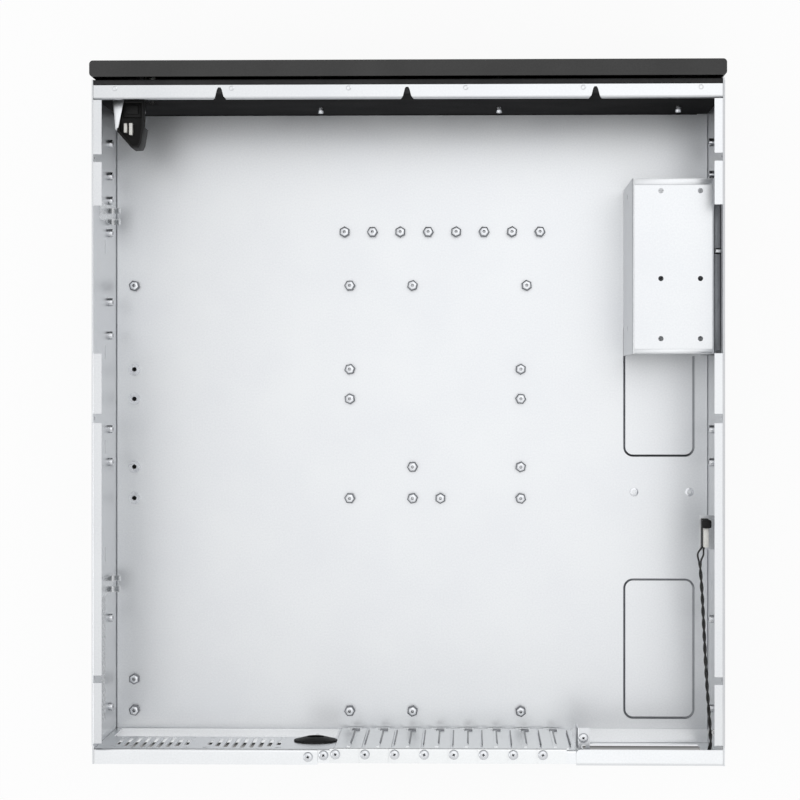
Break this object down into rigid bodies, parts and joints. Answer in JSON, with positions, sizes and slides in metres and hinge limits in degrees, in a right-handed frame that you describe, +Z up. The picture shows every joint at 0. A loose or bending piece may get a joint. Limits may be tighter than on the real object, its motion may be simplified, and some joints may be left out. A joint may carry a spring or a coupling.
{
  "type": "rackmount server case",
  "caption": "Open-topped rackmount server case with a drive cage, board studs, expansion slot covers, press buttons and a cover switch on its cable.",
  "frame": {"origin": "centre of the base, on the plane the case stands on", "axes": "+Y from the front panel to the rear, +Z up, +X to the right side seen from the front"},
  "size_m": [0.434, 0.482, 0.132],
  "materials": {
    "galvanised_sheet": "zinc-coated sheet, fine even grain, half matt",
    "slot_cover_steel": "stamped zinc-coated steel, half matt",
    "spring_steel": "plain spring steel, lightly polished",
    "zinc_fastener": "bright zinc plate",
    "black_coated_sheet": "smooth black coat, half matt",
    "front_panel_finish": "fine-textured dark grey powder coat, matt",
    "black_plastic": "black moulded plastic, fine texture",
    "button_plastic": "black moulded plastic, matt",
    "white_plastic": "natural white nylon",
    "led_lens": "milky clear plastic, glossy",
    "circuit_board": "green solder mask",
    "socket_shell": "nickel-plated shell",
    "cable_sheath": "black insulated pair, twisted, soft sheen"
  },
  "bodies": {
    "case": {"floor_plate": "galvanised_sheet", "right_side_wall": "galvanised_sheet", "left_side_wall": "galvanised_sheet", "wall_clip_front": "spring_steel", "wall_clip_rear": "spring_steel", "board_standoffs": "zinc_fastener", "board_bosses": "zinc_fastener", "card_support_standoffs": "zinc_fastener", "front_plate": "black_coated_sheet", "front_top_rail": "galvanised_sheet", "front_panel": "front_panel_finish", "rear_io_panel": "galvanised_sheet", "slot_frame": "galvanised_sheet", "slot_cover_1": "slot_cover_steel", "slot_cover_2": "slot_cover_steel", "slot_cover_3": "slot_cover_steel", "slot_cover_4": "slot_cover_steel", "slot_cover_5": "slot_cover_steel", "slot_cover_6": "slot_cover_steel", "slot_cover_7": "slot_cover_steel", "slot_cover_8": "slot_cover_steel", "flange_splice": "galvanised_sheet", "rear_psu_panel": "galvanised_sheet", "corner_bracket": "galvanised_sheet", "hole_plug": "black_plastic", "drive_cage": "galvanised_sheet", "module_bracket": "galvanised_sheet", "module_housing": "black_plastic", "control_board": "circuit_board", "usb_sockets": "socket_shell", "led_lenses": "led_lens", "switch_bracket": "galvanised_sheet", "switch_body": "black_plastic", "switch_cable": "cable_sheath", "cable_connector": "white_plastic", "cable_clip_wall": "black_plastic", "cable_clip_rear": "black_plastic"},
    "power_button": {"power_button": "button_plastic"},
    "reset_button": {"reset_button": "button_plastic"},
    "cover_switch": {"switch_plunger": "white_plastic"}
  },
  "joints": [
    {"name": "power_button_press", "type": "slide", "parent": "case", "child": "power_button", "axis": [0, 1, 0], "range_m": [0, 0.0015], "stiffness_N_per_m": 400},
    {"name": "reset_button_press", "type": "slide", "parent": "case", "child": "reset_button", "axis": [0, 1, 0], "range_m": [0, 0.0015], "stiffness_N_per_m": 400},
    {"name": "cover_switch_press", "type": "slide", "parent": "case", "child": "cover_switch", "axis": [0, 0, -1], "range_m": [0, 0.002], "stiffness_N_per_m": 300}
  ]
}
